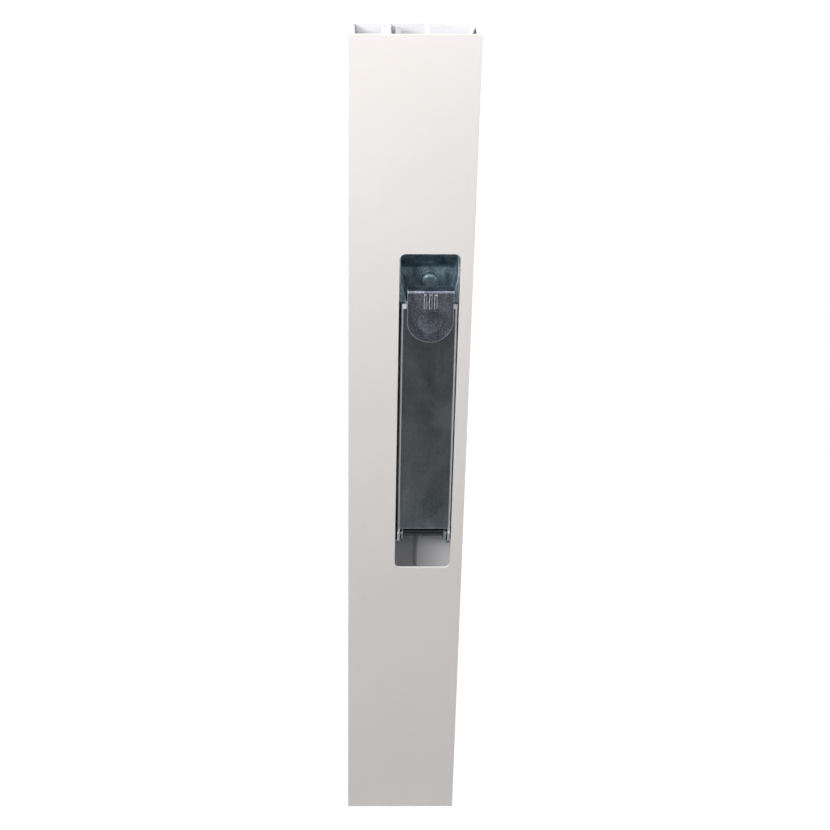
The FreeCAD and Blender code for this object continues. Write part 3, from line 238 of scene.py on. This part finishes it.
def worn_and_highlit_edges(tree):
    """Along the sharp edges, where the surface turns within the set width: wear, and a painted highlight."""
    plain = tree.nodes.new("ShaderNodeNewGeometry")
    turn = tree.nodes.new("ShaderNodeVectorMath")
    turn.operation = "DOT_PRODUCT"
    tree.links.new(rounded(tree, WEAR_AND_HIGHLIGHT_WIDTH), turn.inputs[0])
    tree.links.new(plain.outputs["Normal"], turn.inputs[1])
    return remap(tree, turn.outputs["Value"], WEAR_AND_HIGHLIGHT_FROM, WEAR_AND_HIGHLIGHT_FULL)


def lever_wear_and_highlights(tree):
    """The lever's painted bend highlights, and its edges with wear and a painted highlight."""
    return math_node(tree, "MAXIMUM", lever_bend_highlights(tree), worn_and_highlit_edges(tree))


# Materials

def white_coat():
    """Warm white powder coat: satin, fine orange peel, faint handling marks; uncoated aluminium inside, its
    tone set as painted light for the hollow.
    """
    material, tree, shader = new_material("white_powder_coat")
    place = position(tree)
    cloud = noise(tree, place, scale=6.0, detail=3.0)
    smudge = noise(tree, position(tree, (1, 1, 0.35)), scale=38.0, detail=5.0, roughness=0.7)
    peel = noise(tree, place, PEEL_SCALE, detail=2.0)
    base = ramp(tree, cloud, 0.3, COAT_DIM, 0.7, COAT_LIGHT)
    marks = ramp(tree, smudge, 0.60, WHITE, 0.80, COAT_SMUDGE)
    coat = mix_colour(tree, 1.0, base, marks, "MULTIPLY")
    # Inside the hollow the coat gives way to an uncoated aluminium tone, also painted light for the hollow
    colour = mix_colour(tree, bare_inside_and_painted_light(tree), coat, BARE_ALUMINIUM_AND_PAINTED_LIGHT)
    dress(tree, shader, colour, remap(tree, smudge, low=0.34, high=0.48))
    shader.inputs["IOR"].default_value = 1.46
    bump(tree, shader, peel, 0.10, PEEL_DEPTH)
    return material


def zinc(name, dark, light, rough, sparkle, mottle, cloud_scale=30.0, wear_and_highlight_mask=None, wear_and_highlight_colour=None):
    """Bluish zinc plate on rolled sheet: lengthwise draw lines, soft clouds, grain, and lighter wear down to
    the plain metal, with painted highlights.
    """
    material, tree, shader = new_material(name, metallic=1.0)
    cloud = noise(tree, position(tree, (1, 1, 0.45)), cloud_scale, detail=6.0, roughness=0.65, distortion=0.4)
    lines = noise(tree, position(tree, (1, 1, 0.015)), DRAW_SCALE, detail=3.0, roughness=0.6)
    speck = noise(tree, position(tree), SPECK_SCALE, detail=2.0, roughness=0.8)
    base = ramp(tree, cloud, 0.34, dark, 0.66, light)
    streak = ramp(tree, lines, 0.30, DRAW_LINE, 0.70, WHITE)
    grain = ramp(tree, speck, 0.38, (mottle, mottle, mottle), 0.62, WHITE)
    drawn = mix_colour(tree, 1.0, base, streak, "MULTIPLY")
    colour = mix_colour(tree, 1.0, drawn, grain, "MULTIPLY")
    gloss = remap(tree, cloud, low=rough[0], high=rough[1])
    # Lighter, rougher colour where the mask holds: wear, and painted highlights
    if wear_and_highlight_mask:
        where = wear_and_highlight_mask(tree)
        colour = mix_colour(tree, where, colour, wear_and_highlight_colour)
        gloss = mix_colour(tree, where, gloss, WEAR_AND_HIGHLIGHT_ROUGHNESS)
    dress(tree, shader, colour, gloss)
    bump(tree, shader, speck, sparkle, GRAIN_DEPTH)
    return material


def bare_steel():
    """Blackened turned steel of the spindle, pinion, pin and clips."""
    material, tree, shader = new_material("bare_steel", metallic=1.0)
    turned = noise(tree, position(tree, (0.02, 1, 1)), TURNED_SCALE, detail=3.0)
    colour = ramp(tree, turned, 0.3, (0.04, 0.04, 0.045), 0.7, (0.09, 0.09, 0.095))
    dress(tree, shader, colour, remap(tree, turned, low=0.20, high=0.32))
    bump(tree, shader, turned, 0.15, TURNED_DEPTH)
    return material


def rivet_steel():
    """Bright upset heads with light scratches."""
    material, tree, shader = new_material("rivet_steel", metallic=1.0)
    marks = noise(tree, position(tree), SCRATCH_SCALE, detail=5.0, roughness=0.7, distortion=1.2)
    colour = ramp(tree, marks, 0.3, (0.42, 0.43, 0.44), 0.7, (0.60, 0.61, 0.62))
    dress(tree, shader, colour, remap(tree, marks, low=0.24, high=0.40))
    return material


def black_nylon():
    """Moulded nylon of the guides and bushes: fine spark-eroded grain."""
    material, tree, shader = new_material("black_nylon")
    grain = noise(tree, position(tree), SPARK_SCALE, detail=3.0)
    colour = ramp(tree, grain, 0.3, (0.014, 0.014, 0.015), 0.7, (0.024, 0.024, 0.025))
    dress(tree, shader, colour, remap(tree, grain, low=0.46, high=0.58))
    bump(tree, shader, grain, 0.25, GRAIN_DEPTH)
    return material


def black_cloth():
    material, _, shader = new_material("black_cloth")
    shader.inputs["Base Color"].default_value = (0.02, 0.02, 0.02, 1)
    shader.inputs["Roughness"].default_value = 0.9
    return material


COAT = white_coat()
# Lever bends, tabs and edges, and the case and flap edges, are lightened: painted highlights, with some wear
LEVER_ZINC = zinc("zinc_lever", (0.28, 0.32, 0.35), (0.46, 0.50, 0.53), rough=(0.22, 0.36),
                  sparkle=0.35, mottle=0.80, wear_and_highlight_mask=lever_wear_and_highlights, wear_and_highlight_colour=(0.74, 0.78, 0.80))
CASE_ZINC = zinc("zinc_case", (0.15, 0.23, 0.29), (0.60, 0.74, 0.83), rough=(0.44, 0.60),
                 sparkle=0.60, mottle=0.55, cloud_scale=110.0, wear_and_highlight_mask=worn_and_highlit_edges, wear_and_highlight_colour=(0.86, 0.90, 0.92))
FLAP_ZINC = zinc("zinc_flap", (0.17, 0.19, 0.24), (0.38, 0.40, 0.47), rough=(0.28, 0.44),
                 sparkle=1.0, mottle=0.42, cloud_scale=70.0, wear_and_highlight_mask=worn_and_highlit_edges, wear_and_highlight_colour=(0.72, 0.74, 0.78))
ROD_ZINC = zinc("zinc_rods", (0.34, 0.36, 0.35), (0.52, 0.54, 0.53), rough=(0.30, 0.42),
                sparkle=0.20, mottle=0.85)
STEEL = bare_steel()
RIVET = rivet_steel()
NYLON = black_nylon()

FINISHES = [
    (COAT, ["post_profile"]),
    (LEVER_ZINC, ["lever_channel", "catch_bracket"]),
    (CASE_ZINC, ["lock_case", "strike_plate"]),
    (FLAP_ZINC, ["catch_flap"]),
    (ROD_ZINC, ["upper_rod", "lower_rod"]),
    (STEEL, ["spindle", "pinion", "spindle_clips", "catch_pin", "catch_spring"]),
    (RIVET, ["case_rivets", "strike_rivets", "bracket_rivets", "guide_screws"]),
    (NYLON, ["spindle_bush_left", "spindle_bush_right", "pinion_spacer", "upper_guide_top",
             "upper_guide_middle", "lower_guide_middle", "lower_guide_bottom"]),
]
for material, names in FINISHES:
    for name in names:
        slots = nodes[name].data.materials
        slots.clear()
        slots.append(material)


# Floor, cloths and world

FLOOR_HALF = 6.0
FLOOR_TONE = 0.40
FLOOR_GLOW = 1.17
FLOOR_WHITENESS = 0.85
SKY_COLOUR = (0.85, 0.92, 1.0, 1)
SKY_STRENGTH = 0.14


def rectangle(name, corner, first_side, second_side):
    """One flat face, from a corner and the two sides that leave it."""
    corner, first_side, second_side = Vector(corner), Vector(first_side), Vector(second_side)
    mesh = bpy.data.meshes.new(name)
    corners = [corner, corner + first_side, corner + first_side + second_side, corner + second_side]
    mesh.from_pydata(corners, [], [(0, 1, 2, 3)])
    item = bpy.data.objects.new(name, mesh)
    scene.collection.objects.link(item)
    return item


def seen_or_mirrored(tree):
    """1 for what the camera sees straight or in polished metal, 0 for the light on the object."""
    path = tree.nodes.new("ShaderNodeLightPath")
    return math_node(tree, "MAXIMUM", path.outputs["Is Camera Ray"], path.outputs["Is Glossy Ray"])


def blend_shaders(tree, output, factor, first, second):
    both = tree.nodes.new("ShaderNodeMixShader")
    tree.links.new(factor, both.inputs["Fac"])
    tree.links.new(first.outputs[0], both.inputs[1])
    tree.links.new(second.outputs[0], both.inputs[2])
    tree.links.new(both.outputs[0], output.inputs["Surface"])


def pale_floor():
    """Grey floor that the camera and polished metal see as white; the shadow stays on it."""
    material = bpy.data.materials.new("pale_floor")
    material.use_nodes = True
    tree = material.node_tree
    tree.nodes.clear()
    output = tree.nodes.new("ShaderNodeOutputMaterial")
    lit = tree.nodes.new("ShaderNodeBsdfDiffuse")
    lit.inputs["Color"].default_value = (FLOOR_TONE, FLOOR_TONE, FLOOR_TONE, 1)
    glow = tree.nodes.new("ShaderNodeEmission")
    glow.inputs["Strength"].default_value = FLOOR_GLOW
    blend_shaders(tree, output, product(tree, seen_or_mirrored(tree), FLOOR_WHITENESS), lit, glow)
    return material


def studio_world():
    """Weak cool light on the object; plain pale grey where the camera or polished metal sees it."""
    world = bpy.data.worlds.new("studio")
    world.use_nodes = True
    tree = world.node_tree
    tree.nodes.clear()
    output = tree.nodes.new("ShaderNodeOutputWorld")
    sky = tree.nodes.new("ShaderNodeBackground")
    sky.inputs["Color"].default_value = SKY_COLOUR
    sky.inputs["Strength"].default_value = SKY_STRENGTH
    backdrop = tree.nodes.new("ShaderNodeBackground")
    backdrop.inputs["Strength"].default_value = 1.0
    blend_shaders(tree, output, seen_or_mirrored(tree), sky, backdrop)
    return world


floor = rectangle("floor", (-FLOOR_HALF, -FLOOR_HALF, 0), (2 * FLOOR_HALF, 0, 0), (0, 2 * FLOOR_HALF, 0))
floor.data.materials.append(pale_floor())
scene.world = studio_world()

# Black cloths that the camera doesn't see and the polished lever mirrors
CLOTH_HALF = 0.34
CLOTH_NEAR = -0.42
CLOTH_FAR = -2.40
CLOTH_LOW = 0.001
CLOTH_HIGH = 0.90
CLOTH_CORNER = (-CLOTH_HALF, CLOTH_FAR, CLOTH_LOW)
CLOTH_WIDTH = (2 * CLOTH_HALF, 0, 0)
laid = rectangle("cloth_on_the_floor", CLOTH_CORNER, CLOTH_WIDTH, (0, CLOTH_NEAR - CLOTH_FAR, 0))
hung = rectangle("cloth_behind_the_camera", CLOTH_CORNER, CLOTH_WIDTH, (0, 0, CLOTH_HIGH - CLOTH_LOW))
CLOTH = black_cloth()
for cloth in (laid, hung):
    cloth.data.materials.append(CLOTH)
    cloth.visible_camera = False


# Lights

def area_light(name, place, target, size, watts, colour=WHITE):
    data = bpy.data.lights.new(name, "AREA")
    data.shape = "RECTANGLE"
    data.size, data.size_y = size
    data.energy = watts
    data.color = colour
    lamp = bpy.data.objects.new(name, data)
    scene.collection.objects.link(lamp)
    lamp.location = place
    lamp.rotation_euler = (Vector(target) - Vector(place)).to_track_quat("-Z", "Y").to_euler()


area_light("key", (-0.95, -0.90, 1.35), (0, 0, 1.05), (0.8, 0.6), watts=21.5, colour=(1.0, 0.99, 0.98))
area_light("top", (-0.35, -0.50, 1.65), (0, 0, 0.90), (0.9, 0.7), watts=9.5)
area_light("fill", (0.95, -0.90, 1.30), (0, 0, 1.05), (0.8, 0.6), watts=5.0, colour=(0.97, 0.98, 1.0))
area_light("back", (0.4, 1.8, 1.4), (0, 0, 0.4), (1.4, 1.0), watts=5.0)


# Camera, from the photograph's own perspective; focal length and centre are in its pixels

EYE = Vector((-0.05108, -1.23127, 1.03785))
PITCH = math.radians(28.425)
YAW = math.radians(0.542)
ROLL = math.radians(0.28)
FOCAL = 1622.1
CENTRE = (360.6, 457.9)
FRAME_PIXELS = 830.0
SENSOR = 36.0

lens = bpy.data.cameras.new("camera")
lens.sensor_width = SENSOR
lens.lens = FOCAL / FRAME_PIXELS * SENSOR
lens.shift_x = 0.5 - CENTRE[0] / FRAME_PIXELS
lens.shift_y = CENTRE[1] / FRAME_PIXELS - 0.5
lens.clip_start = 0.01
lens.clip_end = 50.0

ahead = Vector((math.sin(YAW) * math.cos(PITCH), math.cos(YAW) * math.cos(PITCH), -math.sin(PITCH)))
level = Vector((math.cos(YAW), -math.sin(YAW), 0.0))
upward = level.cross(ahead)
right = math.cos(ROLL) * level + math.sin(ROLL) * upward
top = -math.sin(ROLL) * level + math.cos(ROLL) * upward

camera = bpy.data.objects.new("camera", lens)
scene.collection.objects.link(camera)
camera.matrix_world = Matrix((
    (right.x, top.x, -ahead.x, EYE.x),
    (right.y, top.y, -ahead.y, EYE.y),
    (right.z, top.z, -ahead.z, EYE.z),
    (0, 0, 0, 1)))
scene.camera = camera
